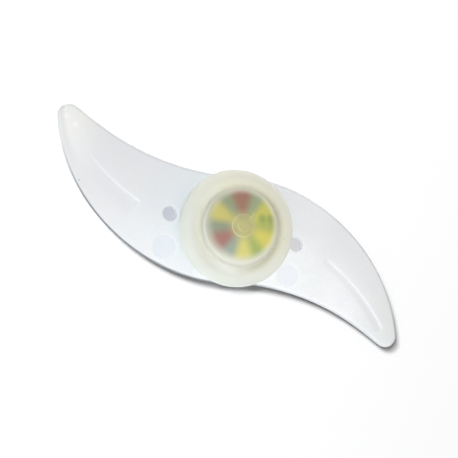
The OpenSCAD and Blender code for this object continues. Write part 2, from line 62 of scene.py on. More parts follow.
# %% Place the camera
MM = 0.001
picture_px, px_per_mm = 458, 2.834
hub_px = (232.8, 229.6)
sensor_mm, distance = 36, 0.340
right = Vector((0.9405, 0.1970, 0.2748)).normalized()
up = Vector((-0.2316, 0.9671, 0.0994)).normalized()
back = right.cross(up).normalized()
up = back.cross(right)
looked_at = Vector((0, 0, 6.4 * MM))
off_centre = [at - picture_px / 2 for at in hub_px]

camera_data = bpy.data.cameras.new("camera")
camera_data.sensor_width = sensor_mm
camera_data.lens = sensor_mm * distance * px_per_mm / MM / picture_px
camera_data.clip_start = 0.01
camera = bpy.data.objects.new("camera", camera_data)
bpy.context.scene.collection.objects.link(camera)
place = (looked_at + back * distance - right * off_centre[0] / px_per_mm * MM
         + up * off_centre[1] / px_per_mm * MM)
camera.matrix_world = Matrix((
    (right.x, up.x, back.x, place.x), (right.y, up.y, back.y, place.y),
    (right.z, up.z, back.z, place.z), (0, 0, 0, 1)))
bpy.context.scene.camera = camera
print("lens", round(camera_data.lens, 2), "mm, camera at", [round(c, 4) for c in place])

# %% [markdown]
# ## Shader maths in plain Python
# A material is a small network of nodes, and sums between them are hard to read when each one is added by
# hand. The class below wraps one socket, so that `1 - mask` or `a * b + c` adds the Math nodes by itself.
# Any other node comes from one method, which takes the node's type, its settings and its inputs.

# %% A socket that can be calculated with
def math_node(operation, reflected=False):
    """A method that adds one Math node. Reflected, it takes the other value first, as 1 - mask needs."""
    def method(value, other=0.0):
        first, second = (other, value) if reflected else (value, other)
        return value.recipe.add("Math", {"operation": operation}, {0: first, 1: second})
    return method


class Value:
    """One output socket. Arithmetic on it adds Math nodes to the same material."""

    def __init__(self, recipe, socket):
        self.recipe, self.socket = recipe, socket

    __add__, __radd__ = math_node("ADD"), math_node("ADD", True)
    __sub__, __rsub__ = math_node("SUBTRACT"), math_node("SUBTRACT", True)
    __mul__, __rmul__ = math_node("MULTIPLY"), math_node("MULTIPLY", True)
    __truediv__, __rtruediv__ = math_node("DIVIDE"), math_node("DIVIDE", True)
    __pow__, __rpow__ = math_node("POWER"), math_node("POWER", True)
    __mod__, __rmod__ = math_node("FLOORED_MODULO"), math_node("FLOORED_MODULO", True)
    root, size, angle = math_node("SQRT"), math_node("ABSOLUTE"), math_node("ARCTAN2")
    least, most = math_node("MINIMUM"), math_node("MAXIMUM")

    def between(self, low, high):
        """0 up to low, 1 from high on, and a soft S-curve between them."""
        return self.recipe.add("MapRange", {"interpolation_type": "SMOOTHSTEP"},
                               {"Value": self, "From Min": low, "From Max": high})

# %% [markdown]
# ## A recipe for each finish
# Every finish below reads like a list of steps: a base tone, then one tone after another mixed over it where
# a mask says so. Colours are written as on a screen and turned into the linear numbers that a shader needs.
# Each recipe knows its place on the piece in millimetres, so a mask is simply a distance.

# %% A material that is written like a recipe
def colour(code):
    """A colour written as on a screen, such as "dde2d0", in linear light: c / 12.92 when dark, and otherwise
    (c + 0.055) / 1.055 to the power 2.4."""
    c = np.array([int(code[i:i + 2], 16) for i in (0, 2, 4)]) / 255
    return tuple(np.where(c <= 0.04045, c / 12.92, ((c + 0.055) / 1.055) ** 2.4).tolist())


class Recipe:
    def __init__(self, name, world=None):
        self.material = world or bpy.data.materials.new(name)
        self.material.use_nodes = True
        self.tree = self.material.node_tree
        self.tree.nodes.clear()
        if world:
            return
        self.place = self.add("TexCoord", out="Object")
        self.x, self.y, self.z = [self.add("SeparateXYZ", inputs={0: self.place}, out=k) / MM
                                  for k in range(3)]
        self.out = (self.x * self.x + self.y * self.y).root()

    def add(self, kind, settings=None, inputs=None, out=0):
        """One node. Settings go in first, then numbers and links; the result is the output named by out."""
        node = self.tree.nodes.new("ShaderNode" + kind)
        for key, value in (settings or {}).items():
            if key == "stops":
                ramp = node.color_ramp
                while len(ramp.elements) < len(value):
                    ramp.elements.new(0.5)
                for element, (position, tone) in zip(ramp.elements, sorted(value)):
                    element.position, element.color = position, (*tone, 1)
            else:
                setattr(node, key, value)
        for key, value in (inputs or {}).items():
            if isinstance(value, Value):
                self.tree.links.new(value.socket, node.inputs[key])
            else:
                node.inputs[key].default_value = value
        return Value(self, node.outputs[out])

    def noise(self, scale, detail=2.0, rough=0.5, where=None):
        """Soft random spots, about one for each 1 / scale of a metre."""
        return self.add("TexNoise", None, {"Vector": where or self.place, "Scale": scale, "Detail": detail,
                                           "Roughness": rough}, "Fac")

    def mix(self, share, one, other):
        """The first colour where share is 0 and the other where it is 1. A colour is a code or a Value."""
        one, other = [(*colour(c), 1) if isinstance(c, str) else c for c in (one, other)]
        return self.add("Mix", {"data_type": "RGBA"}, {0: share, 6: one, 7: other}, 2)

    def away_from(self, at, mirrored=False):
        """Distance in millimetres from an upright line at a point: the root of both squares added.
        Mirrored, the same line stands on the other side of the middle too."""
        x = self.x.size() if mirrored else self.x
        return ((x - at[0]) ** 2 + (self.y - at[1]) ** 2).root()

    def seen(self):
        """1 where the camera looks straight at it or sees it in gloss or through clear plastic, else 0."""
        rays = [self.add("LightPath", out=f"Is {kind} Ray") for kind in ("Camera", "Glossy", "Transmission")]
        return rays[0].most(rays[1]).most(rays[2])

    def end(self, shader, kind="Material"):
        """The shader goes to the output, which has no socket of its own to hand on."""
        node = self.tree.nodes.new("ShaderNodeOutput" + kind)
        self.tree.links.new(shader.socket, node.inputs["Surface"])
        return self.material

    def finish(self, bump=None, bump_height=0.00002, **surface):
        """The plain surface of most finishes. Inputs are named as in Blender, with _ for a space."""
        inputs = {name.replace("_", " "): value for name, value in surface.items()}
        if bump is not None:
            relief = {"Strength": 1.0, "Distance": bump_height, "Height": bump}
            inputs["Normal"] = self.add("Bump", None, relief)
        return self.end(self.add("BsdfPrincipled", None, inputs))


print("a middle grey in linear light:", [round(c, 3) for c in colour("808080")])

# %% [markdown]
# ## Surfaces as arrays
# Each new piece is worked out as whole arrays of points. A helper turns such points and faces into a mesh,
# closes doubled points where a surface ends in a line, and marks edges sharper than a given angle, so that
# soft rounds look soft and crisp rims stay crisp.

# %% Turn arrays into an object
def make_piece(name, points_mm, faces, material, body="body", sharp=40, values=None):
    """A mesh object from points in millimetres and faces of four corners. Doubled points are merged.
    values holds one number a point under a name that a material can read."""
    mesh = bpy.data.meshes.new(name)
    mesh.from_pydata((np.asarray(points_mm) * MM).tolist(), [], np.asarray(faces).tolist())
    for key, numbers in (values or {}).items():
        attribute = mesh.attributes.new(key, "FLOAT", "POINT")
        attribute.data.foreach_set("value", np.asarray(numbers, np.float32))
    work = bmesh.new()
    work.from_mesh(mesh)
    bmesh.ops.remove_doubles(work, verts=work.verts, dist=1e-7)
    bmesh.ops.dissolve_degenerate(work, edges=work.edges, dist=1e-8)
    work.to_mesh(mesh)
    volume = work.calc_volume(signed=True) / MM ** 3
    open_edges = sum(1 for e in work.edges if len(e.link_faces) != 2)
    work.free()
    mesh.shade_smooth()
    mesh.set_sharp_from_angle(angle=np.radians(sharp))
    mesh.materials.append(material)
    piece = bpy.data.objects.new(name, mesh)
    bpy.context.scene.collection.objects.link(piece)
    if body:
        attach(piece, body)
    print(name, "points", len(mesh.vertices), "volume", round(volume), "mm3, open edges", open_edges)
    return piece


def turn_profile(profile, around, centre=(0, 0)):
    """A closed profile of [radius, height] carried round an axis: x = r cos a, y = r sin a, z = h.
    Faces that would shrink to nothing on the axis are left out."""
    r, h = np.asarray(profile, float).T
    a = np.linspace(0, 2 * np.pi, around, endpoint=False)
    points = np.stack([centre[0] + np.outer(np.cos(a), r), centre[1] + np.outer(np.sin(a), r),
                       np.broadcast_to(h, (around, len(h)))], -1).reshape(-1, 3)
    n = len(h)
    i, j = np.meshgrid(np.arange(around), np.arange(n), indexing="ij")
    i2, j2 = (i + 1) % around, (j + 1) % n
    faces = np.stack([i * n + j, i2 * n + j, i2 * n + j2, i * n + j2], -1)
    return points, faces[r[j] + r[j2] > 0]


def arc(centre, radius, start, stop, steps):
    """Points on a circle, centre + radius (cos a, sin a), from one angle to another in degrees."""
    a = np.radians(np.linspace(start, stop, steps + 1))
    return np.stack([centre[0] + radius * np.cos(a), centre[1] + radius * np.sin(a)], 1)


print("faces of a turned square:", len(turn_profile([[1, 0], [2, 0], [2, 1], [1, 1]], 8)[1]))

# %% [markdown]
# ## Milky plastic
# The wing is a thin moulding that scatters light inside, so it is brightest where it is thin or lit from the
# side and turns bluish where light has a long way through it. Subsurface scattering gives that softness.
# The colour changes slowly along the arms: cooler near the hub, where the plastic is thick, and warmer at
# the tips. Light and shade are painted into it too: the left arm a little darker than the right, the hub's
# right side and the lower side of each arm lighter, and a strip left of the cap darker. Each outer wall
# carries a painted dark line below the rounded front, for a wall that returns little light, while its foot is
# not painted and stays light because the pale floor shines into it; most of the upper edge has a painted
# light rim instead. The walls of the two tie holes are painted light and given a faint glow, for light that
# has travelled inside the plastic. Fine grain in the bump keeps the gloss from looking like glass.

# %% Tones of the wing's front
hole_x, hole_r, hole_lip = 23.5, 2.6, 0.18
pad_at = np.array([22.9, -11.6])
print("tie holes:", 2 * hole_x, "mm apart, pads:", 2 * pad_at[0], "mm apart")


def arm_tones(m, across):
    """The front: the left arm painted a little darker than the right, cooler near the hub with painted light
    on its right, painted light along the lower side, and warmer at the tips. across runs from 0 on the upper
    edge to 1 on the lower one."""
    # Painted shade: the left arm is a little darker than the right.
    base = m.mix(m.x.between(-60, 50), "e4e4e6", "ececed")
    # Cooler near the hub, with painted light on its right side.
    near_hub = (1 - m.out.between(16, 46)) * 0.8
    base = m.mix(near_hub, base, m.mix(m.x.between(-24, 24), "dfe7eb", "f2f5f7"))
    towards_tip = m.out.between(42, 64) * (1 - m.x.between(-1, 1) * 0.4)
    # Painted light: the lower side of each arm is lighter, fading towards the tips.
    painted_light_low_side = across.between(0.25, 0.95) * (1 - towards_tip) * m.x.between(-62, -8)
    base = m.mix(painted_light_low_side, base, m.mix(m.x.between(-10, 20), "f3f7fa", "fbfdfe"))
    return m.mix(m.out.between(52, 69) * 0.7, base, m.mix(m.x.between(-60, 60), "f4f5ee", "e7eae7"))


def front_marks(m, base):
    """What lies on the front: the two pads, painted shade left of the cap, two light spots at the left tip,
    fine grain and broad clouds."""
    in_pad = (1 - m.away_from(pad_at, mirrored=True).between(3.7, 4.2)) * 0.5
    base = m.mix(in_pad, base, m.mix(m.x.between(-1, 1), "dfe7f5", "e9eef9"))
    # Painted shade next to the cap, on its left.
    painted_shade_near_cap = (1 - m.out.between(19, 25)) * (1 - m.x.between(-22, -4)) * 0.7
    base = m.mix(painted_shade_near_cap, base, "d6e0e4")
    spots = m.away_from((-65.3, 24.3)).least(m.away_from((-61.6, 22.1)))
    base = m.mix((1 - spots.between(0.3, 1.5)) * 0.6, base, "fcfcf8")
    base = m.mix(m.noise(1500, 3, 0.7).between(0.25, 0.75) * 0.3, base, "dadce1")
    return m.mix(m.noise(90, 3).between(0.35, 0.75) * 0.3, base, "e2e4ea")

# %% Painted shade and highlight on the wing's edges
def edge_tones(m, base, across, hole):
    """The outer walls, with painted shade and highlight. convex_side is 1 at an arm's convex edge and 0 at
    its concave one, which stays lighter. The upper edge has a painted light rim near the hub and on the left,
    and no painted dark line there."""
    convex_side = (across - m.x.between(-0.1, 0.1)).size().most(1 - m.x.size().between(12, 24))
    # Painted shade along the left arm's convex side towards its tip.
    painted_shade_far_edge = convex_side.between(0.6, 1.0) * m.out.between(44, 66) * (1 - m.x.between(-1, 1))
    base = m.mix(painted_shade_far_edge * 0.8, base, "d9dadc")
    # The side walls: a painted dark line on the lower walls and on the right arm's outer upper wall, and a
    # painted light rim on the rest of the upper wall.
    rim = (across - 0.5).size().between(0.485, 0.5)
    painted_dark_rim = rim * (across + (1 - across) * m.x.between(28, 44))
    painted_light_rim = rim - painted_dark_rim
    above_foot = (m.z - (1 - across) * 0.8).between(4.8, 5.5)
    painted_dark_line = painted_dark_rim * above_foot * (1 - m.z.between(6.9, 7.62))
    wall = (painted_dark_line + painted_light_rim * (1 - m.z.between(5.4, 6.6))) * hole.between(2.9, 3.2)
    # Tones of the painted shade on the walls, darker on the convex edges than on the concave ones.
    left_wall_shade = m.mix(m.out.between(50, 70), "70747b", "cfd1d3")
    right_wall_shade = m.mix(m.out.between(36, 64), "a5a9ae", "6d7178")
    painted_shade_share = convex_side * (across + (1 - across) * m.x.between(12, 28))
    edge = m.mix(painted_shade_share, "cfd2d6", m.mix(m.x.between(-16, 16), left_wall_shade, right_wall_shade))
    # Painted highlight: a light band high on the upper walls, below the rounded front.
    base = m.mix(painted_light_rim * (1 - m.z.between(6.9, 7.35)), base, "f4f5f7")
    return m.mix(wall, base, edge)


def milky_plastic():
    """Painted light and shade in the base tones and on the edges, hole walls painted light with a faint glow,
    and one dark speck on the left arm, over soft scattering.
    """
    m = Recipe("milky_plastic")
    across = m.add("Attribute", {"attribute_name": "across"}, out="Fac")
    hole = m.away_from((hole_x, 0), mirrored=True)
    base = edge_tones(m, front_marks(m, arm_tones(m, across)), across, hole)
    # Painted light: the walls of the tie holes get a light tone and a faint glow, though they are no lamp.
    painted_light_hole_wall = (1 - hole.between(hole_r + 0.06, hole_r + hole_lip)) * (1 - m.z.between(7.2, 7.5))
    base = m.mix(painted_light_hole_wall, base, "e9edf0")
    glow = m.mix(painted_light_hole_wall, "000000", m.mix(m.x.between(-1, 1), "787d81", "7e8085"))
    speck = m.away_from((-56.4, 3.75))
    base = m.mix((1 - speck.between(0.12, 0.34)) * 0.7, base, "77777c")
    return m.finish(Base_Color=base, Roughness=m.noise(900, 2) * 0.12 + 0.34, bump=m.noise(2200, 3),
                    bump_height=0.000008, Subsurface_Weight=0.35, Subsurface_Scale=0.0010,
                    Subsurface_Radius=(1.0, 1.05, 1.15), Specular_IOR_Level=0.45, Emission_Color=glow,
                    Emission_Strength=1.0)


milky = milky_plastic()
print("material:", milky.name, "with", len(milky.node_tree.nodes), "nodes")

# %% [markdown]
# ## The wing's outline
# Each arm has a convex and a concave edge. Both are cubic curves that leave the hub at the same lean and run
# into the round tip along its own direction, so there is no corner anywhere. The left arm is the right one
# after a half turn, which also swaps the two edges.

# %% Edges of the wing
tip, tip_r = np.array([64.4, -24.8]), 3.99
waist, lean = 19.2, 11.6
arm_steps, tip_steps = 140, 24
convex_end, concave_end = 16.0, -107.0
tip_middle = (convex_end + concave_end) / 2


def polar(radius, degrees):
    """The point at a distance and an angle from the middle: radius (cos a, sin a)."""
    a = np.radians(degrees)
    return radius * np.stack([np.cos(a), np.sin(a)], -1)


def cubic(p, t):
    """The cubic curve with corners p: each corner weighted by a power of t and of 1 - t."""
    t = np.asarray(t)[:, None]
    return (1 - t) ** 3 * p[0] + 3 * (1 - t) ** 2 * t * p[1] + 3 * (1 - t) * t * t * p[2] + t ** 3 * p[3]


def arm_edge(start_y, reach, hold, end, quarter, side):
    """Points of one edge from the hub to the middle of the tip, and the directions into the plastic."""
    on_tip = tip + polar(tip_r, end)
    corners = np.array([[0, start_y], np.array([0, start_y]) + polar(reach, lean),
                        on_tip + polar(hold, end + quarter), on_tip])
    line = cubic(corners, np.linspace(0, 1, arm_steps + 1))
    way = np.gradient(line, axis=0)
    way /= np.linalg.norm(way, axis=1)[:, None]
    way[0] = polar(1, lean)
    inside = side * np.stack([way[:, 1], -way[:, 0]], 1)
    inside[-1] = -polar(1, end)
    angle = np.linspace(end, tip_middle, tip_steps + 1)[1:]
    return np.vstack([line, tip + polar(tip_r, angle)]), np.vstack([inside, -polar(1, angle)])


convex, convex_in = arm_edge(waist, 22.5, 35.0, convex_end, 90, 1)
concave, concave_in = arm_edge(-waist, 36.5, 5.0, concave_end, -90, -1)
upper = np.vstack([-concave[:0:-1], convex])
upper_in = np.vstack([-concave_in[:0:-1], convex_in])
lower = np.vstack([-convex[:0:-1], concave])
lower_in = np.vstack([-convex_in[:0:-1], concave_in])
stations = len(upper)
print("stations along the wing:", stations, "reach:", upper[-1].round(2))

# %% [markdown]
# ## The wing's faces
# The front is slightly domed, by 0.6 mm in the middle and less where the arm is narrow. Its edge and the
# back's edge are both rounded with 1.2 mm. On each arm a groove starts as a fine line and runs towards the
# tip. The right one widens and ends round, and the left one lies closer to the convex edge and fades. Two
# shallow pads lie on the side below the tie holes. Both features are depths that are taken off the domed
# height, each a formula of the distance to a line or a point.

# %% Heights of the front
plate_z, edge_z, crown_h, full_width, edge_r = 4.6, 7.6, 0.6, 34, 1.2
pad_sink, pad_level_r, pad_wall_r = 0.11, 3.9, 4.4
vein_steps, end_r, end_growth = 200, 0.4, 0.9
right_vein = {"along": (0.43, 0.865), "across": (0.52, 0.685), "depth": (0.22, 0.36),
              "convex_side": (0.8, 1.1), "concave_side": (2.6, 3.2)}
left_vein = {"along": (0.425, 0.74), "across": (0.475, 0.515), "depth": (0.46, 0.0),
             "convex_side": (8.0, 6.0), "concave_side": (0.8, 0.9)}


def smooth(low, high, value):
    """0 up to low, 1 from high on, and k k (3 - 2 k) between them."""
    k = np.clip((value - low) / (high - low), 0, 1)
    return k * k * (3 - 2 * k)


def dome(v, width):
    """Height above the edge: a parabola across the arm, lower where the arm is narrower than full_width."""
    return crown_h * 4 * v * (1 - v) * np.minimum(1, width / full_width)


def vein_depth(xy, vein):
    """Depth of a groove: greatest on its line and falling softly to 0 at a given distance on either side.
    Depth, both distances and the place across the arm change evenly from the line's start to its end."""
    u = np.linspace(0, 1, vein_steps)
    t = vein["along"][0] + (vein["along"][1] - vein["along"][0]) * u
    v = vein["across"][0] + (vein["across"][1] - vein["across"][0]) * u[:, None]
    arm_t = np.linspace(0, 1, arm_steps + 1)
    one, other = [np.stack([np.interp(t, arm_t, e[:arm_steps + 1, k]) for k in (0, 1)], 1)
                  for e in (convex, concave)]
    line = one * (1 - v) + other * v
    way = np.gradient(line, axis=0)
    way /= np.linalg.norm(way, axis=1)[:, None]
    nearest = np.linalg.norm(xy[:, None] - line[None], axis=2).argmin(1)
    gap, ahead, share = xy - line[nearest], way[nearest], u[nearest]
    beside = ahead[:, 0] * gap[:, 1] - ahead[:, 1] * gap[:, 0]
    beyond = (ahead * gap).sum(1)
    depth, convex_side, concave_side = [vein[k][0] * (1 - share) + vein[k][1] * share
                                        for k in ("depth", "convex_side", "concave_side")]
    q = np.hypot(beside / np.where(beside > 0, convex_side, concave_side),
                 beyond / (end_r + end_growth * share))
    return depth * (1 - smooth(0, 1, q))


def pad_depth(xy):
    """Depth of the pads: level inside a radius, with a short soft wall out to a slightly larger one."""
    far = np.linalg.norm(np.abs(xy - [0, pad_at[1]]) - [pad_at[0], 0], axis=1)
    return pad_sink * (1 - smooth(pad_level_r, pad_wall_r, far))


def both_depths(xy):
    """Depth of the grooves and pads. The left groove is worked out on the right arm, after a half turn."""
    vein = np.where(xy[:, 0] > 0, vein_depth(xy, right_vein), vein_depth(-xy, left_vein))
    return vein + pad_depth(xy)


print("a pad's depth in its middle:", pad_depth(pad_at[None]).round(2)[0], "mm")

# %% [markdown]
# ## The wing's points
# Across every station of the outline run a front row, a back row and two side rows. The side rows follow a
# quarter circle at the back, a straight wall and a quarter circle at the front, each point moved inwards from
# the outline. So the wall has the same section all round, also at the tips.

# %% Points of the wing
across_steps = 100


def side_points(line, inside):
    """The side rows of one edge: each station moved inwards and lifted by the points of the section."""
    flat = line[:, None] + side[None, :, :1] * inside[:, None]
    return np.concatenate([flat, np.broadcast_to(side[None, :, 1:], (*flat.shape[:2], 1))], 2)


turn = np.radians(np.linspace(90, 0, 8))
back_edge = np.stack([edge_r * (1 - np.cos(turn)), plate_z + edge_r * (1 - np.sin(turn))], 1)
turn = np.radians(np.linspace(0, 90, 10))
front_edge = np.stack([edge_r * (1 - np.cos(turn)), edge_z - edge_r * (1 - np.sin(turn))], 1)
side = np.vstack([back_edge, front_edge[:-1]])
v = np.linspace(0, 1, across_steps + 1)
top_a, top_b = upper + edge_r * upper_in, lower + edge_r * lower_in
flat = top_a[:, None] * (1 - v[:, None]) + top_b[:, None] * v[:, None]
width = np.linalg.norm(top_a - top_b, axis=1)[:, None]
height = edge_z + dome(v[None], width)
depth = both_depths(flat.reshape(-1, 2)).reshape(height.shape)
front = np.concatenate([flat, (height - depth)[..., None]], 2)
rear = np.concatenate([flat, np.full((*height.shape, 1), plate_z)], 2)
print("deepest point of the grooves:", round(float(depth.max()), 2), "mm")

# %% [markdown]
# ## Holes in a grid
# The front and the back share their grid, so a hole is simple: the faces inside a circle are left out of
# both, the points round the gap are drawn onto the circle, and a wall with rounded lips joins the two rims.
# This keeps the whole wing one closed skin.

# %% Faces of the wing
def quads(index):
    """Faces between neighbouring rows and columns of an array of point numbers."""
    return np.stack([index[:-1, :-1], index[:-1, 1:], index[1:, 1:], index[1:, :-1]], -1).reshape(-1, 4)


def wall_rows(radius, lip, level):
    """Radius and height of each ring of a hole's wall, from the front's rim down to the back's. Both lips are
    quarter circles: radius + lip (1 - sin a), and lip (1 - cos a) below the front or above the back."""
    a = np.radians([0, 30, 60, 90])
    r, dip = radius + lip * (1 - np.sin(a)), lip * (1 - np.cos(a))
    return np.vstack([np.stack([r, level - dip], 1), np.stack([r, plate_z + dip], 1)[::-1]])


def border(faces):
    """Edges that belong to only one of these faces, in the direction in which that face runs."""
    edges = np.vstack([faces[:, [k, (k + 1) % 4]] for k in range(4)])
    _, first, count = np.unique(np.sort(edges, 1), axis=0, return_index=True, return_counts=True)
    return edges[first[count == 1]]


def wing_surface(holes):
    """The closed wing: points, faces and each point's share across the arm. holes are
    [x, y, radius, lip] in millimetres."""
    n = stations * (across_steps + 1)
    front_at = np.arange(n).reshape(stations, -1)
    rear_at = front_at + n
    upper_at = 2 * n + np.arange(stations * len(side)).reshape(stations, -1)
    lower_at = upper_at + stations * len(side)
    points = np.vstack([part.reshape(-1, 3) for part in (
        front, rear, side_points(upper, upper_in), side_points(lower, lower_in))])
    across = np.concatenate([np.tile(v, 2 * stations), np.repeat([0, 1], stations * len(side))])
    skin = quads(front_at)
    middle = points[skin][:, :, :2].mean(1)
    gone = np.zeros(len(skin), bool)
    walls = []
    for x, y, radius, lip in holes:
        centre, rim = np.array([x, y]), radius + lip
        inside = np.linalg.norm(middle - centre, axis=1) < rim
        gone |= inside
        loop = border(skin[inside])
        rim_at = np.unique(loop)
        away = points[rim_at, :2] - centre
        away /= np.linalg.norm(away, axis=1)[:, None]
        level = points[rim_at, 2].mean()
        for at in (rim_at, rim_at + n):
            points[at, :2] = centre + rim * away
        points[rim_at, 2] = level
        rings = [rim_at]
        for r, z in wall_rows(radius, lip, level)[1:-1]:
            rings.append(len(points) + np.arange(len(rim_at)))
            points = np.vstack([points, np.column_stack([centre + r * away, np.full(len(away), z)])])
        rings.append(rim_at + n)
        a, b = np.searchsorted(rim_at, loop).T
        walls += [np.stack([one[a], one[b], other[b], other[a]], 1) for one, other in zip(rings, rings[1:])]
    front_skin, rear_skin = skin[~gone], skin[~gone][:, ::-1] + n
    upper_skin = quads(np.column_stack([rear_at[:, 0], upper_at, front_at[:, 0]]))
    lower_skin = quads(np.column_stack([front_at[:, -1], lower_at[:, ::-1], rear_at[:, -1]]))
    faces = np.vstack([front_skin, rear_skin, upper_skin, lower_skin, *walls])
    used, faces = np.unique(faces, return_inverse=True)
    across = np.append(across, np.full(len(points) - len(across), 0.5))
    return points[used], faces.reshape(-1, 4), across[used]


bay_r = 12.2
wing_points, wing_faces, wing_across = wing_surface([
    [hole_x, 0, hole_r, hole_lip], [-hole_x, 0, hole_r, hole_lip], [0, 0, bay_r, 0.1]])
print("wing:", len(wing_points), "points", len(wing_faces), "faces")

# %% [markdown]
# ## The hub
# Behind the wing a flat ring surrounds the battery cover. In front a ring with a bead holds the soft cap, and
# inside it two steps carry the inner cover and the circuit board. All of this is round, so one closed
# profile is turned about the axis. Three small tubes take the screws of the battery cover.

# %% The hub's rings and screw bosses
# Heights above the flat back
land_z, ring_top, lid_top, bay_roof, board_z, shoulder_z = 8.3, 12.5, 1.8, 4.2, 8.9, 11.3
# Radii from the back ring up to the bead, then inside it
back_in, back_r, land_r, neck_r, bead_r = 16.0, 17.9, 18.4, 16.7, 17.1
ring_in, board_in, lid_r = 15.2, 14.3, 13.2
# The bead's middle, and half its height at the foot and at its flat
bead_z, bead_foot, bead_flat = ring_top - 1.5, 0.5, 0.17
# The tubes' distance from the axis, both radii, the first one's angle and their number
boss_at, boss_r, screw_r, first_boss, bosses = 14.2, 2.1, 1.0, 69, 3
back_foot = [[back_in, 0], [17, 0], [17.15, 0.02], [17.35, 0.15], [17.48, 0.35], [17.5, 0.5]]
outer_wall = [[back_r, 5.1], [back_r, 7.4], [land_r, 7.4], [land_r, land_z - 0.12], [land_r - 0.12, land_z]]
neck = [[neck_r, land_z], [neck_r, bead_z - bead_foot], [bead_r, bead_z - bead_flat],
        [bead_r, bead_z + bead_flat], [neck_r, bead_z + bead_foot], [neck_r, ring_top]]
inner_steps = [[ring_in, ring_top], [ring_in, shoulder_z], [board_in, shoulder_z], [board_in, board_z],
               [bay_r, board_z], [bay_r, lid_top], [lid_r, lid_top], [lid_r, bay_roof], [back_in, bay_roof]]
boss = [[screw_r, lid_top], [boss_r, lid_top], [boss_r, bay_roof + 0.5], [screw_r, bay_roof + 0.5]]

parts = [(wing_points, wing_faces), turn_profile(back_foot + outer_wall + neck + inner_steps, 144)]
parts += [turn_profile(boss, 32, polar(boss_at, first_boss + 360 / bosses * k)) for k in range(bosses)]
starts = np.cumsum([0] + [len(p) for p, _ in parts])
across = np.append(wing_across, np.full(starts[-1] - starts[1], 0.5))
wing_skin = make_piece("wing_skin", np.vstack([p for p, _ in parts]),
                       np.vstack([f + start for (_, f), start in zip(parts, starts)]), milky,
                       values={"across": across})
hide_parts("wing")

# %% [markdown]
# ## Colours under the soft cap
# A printed film under the cap carries twelve fields, six wide wedges with six narrow gaps between them. The
# cap is frosted, so it shows them blurred, and they run into each other where they are narrow. Real frosting
# could blur the film itself, but that looks different in each renderer. So the cap's own colour carries the
# blurred fields inside its window, and the film below has the same fields with crisp borders.

# %% Coloured fields
wedges = ["a67c6b", "ccc96e", "d7cf6f", "d7d184", "a87b70", "c7c073"]
gaps = ["a0ab8a", "b4bb6d", "a9b870", "9fada0", "929b86", "98a082"]
picture_top, half_field, half_wedge = 103.5, 0.40, 0.58


def turned_from_top(m):
    """Angle round the hub in turns, clockwise from the top of the picture: the top's angle less the place's
    own, whose tangent is y / x."""
    return (picture_top / 360 - m.y.angle(m.x) / (2 * np.pi)) % 1.0


def round_ramp(m, codes, angle, first):
    """Colours round the axis, level over their own field. first is the turn at which the first one lies."""
    n = len(codes)
    stops = [((k + 0.5 + end) / n, colour(code))
             for k, code in enumerate(codes) for end in (-half_field, half_field)]
    return m.add("ValToRGB", {"stops": stops}, {"Fac": (angle - (first - 0.5 / n)) % 1.0})


def painted_fields(m, blur):
    """Wedges and gaps. Their border is blur millimetres wide on each side, measured along the circle as
    radius times angle, so the colours run into each other where the fields are narrow."""
    angle = turned_from_top(m)
    from_wedge = ((angle * 12 + 1) % 2.0 - 1).size()
    border_mm = (from_wedge - half_wedge) * m.out * np.radians(30)
    wide, narrow = round_ramp(m, wedges, angle, 0), round_ramp(m, gaps, angle, 1 / 12)
    return m.mix(border_mm.between(-blur, blur), wide, narrow)


print("fields:", len(wedges) + len(gaps))

# %% [markdown]
# ## Frosted silicone
# Around its window the cap is pale and warm. Light and shade are painted on its brim, the soft valley and the
# crown's edge: each has a lit tone towards the light and a shaded tone away from it, with a painted shadow in
# the valley on the right and a painted highlight at the lower right. Strong scattering with a radius of three
# millimetres makes the piece look soft all through. Fine lines mark the two steps of the pip, and two small
# flaws of the real cap are kept: a short light scratch across the pip's edge and a dark speck on the brim.

# %% The cap's silicone
def rubber_with_painted_light(m):
    """The cap outside its window, with painted light and shade on brim, valley and crown edge. A mask such as
    low_left grows along one direction: x and y, each times its share, are added and run through a soft step.
    Where low_left is 0 the first tone of a pair shows."""
    out = m.out
    low_left = 1 - (m.x * 0.62 + m.y * 0.78).between(-14, 9)
    painted_shadow_right = (m.x * 0.98 - m.y * 0.10).between(0, 13)
    left_side = 1 - (m.x * 0.97 + m.y * 0.20).between(-13, -3)
    painted_highlight_low_right = (m.x * 0.45 - m.y * 0.89).between(9, 18)
    # Painted light and shade on the brim: warm and lighter at the upper right, cooler and darker at the lower
    # left.
    brim = m.mix(low_left, m.mix(out.between(16.8, 20.2), "dfdfd0", "f0efe3"),
                 m.mix(out.between(17.6, 20.0), "dadcd5", "d2d6cf"))
    # Painted shadow of the crown in the valley on the right, and painted light in the valley at the lower
    # left and the left.
    hollow = m.mix(painted_shadow_right, m.mix(low_left, "e4e2d1", "f6f7f2"), "cac8b6")
    hollow = m.mix(left_side, hollow, "edede0")
    # Painted shade on the crown's edge at the left, lit and shaded tones on the rest of it.
    crown = m.mix(left_side, m.mix(low_left, "e3e1d0", "dadace"),
                  m.mix(out.between(12.4, 13.1), "babaac", "d0d0c3"))
    base = m.mix(out.between(13.3, 14.6), crown, hollow)
    base = m.mix(out.between(14.4, 17.4), base, brim)
    # Painted highlight in the valley at the lower right.
    return m.mix(painted_highlight_low_right * out.between(13.0, 14.5) * 0.17, base, "fbfcf8")


def window_tones(m):
    """The blurred fields, one tone in their middle and a greener patch at the right."""
    painted = m.mix(1 - m.out.between(1.5, 6.8), painted_fields(m, 2.0), "c0bb84")
    green = m.away_from((9.2, 4.75)).least(m.away_from((6.3, 4.0)))
    return m.mix((1 - green.between(0.3, 2.6)) * 0.6, painted, "84995a")


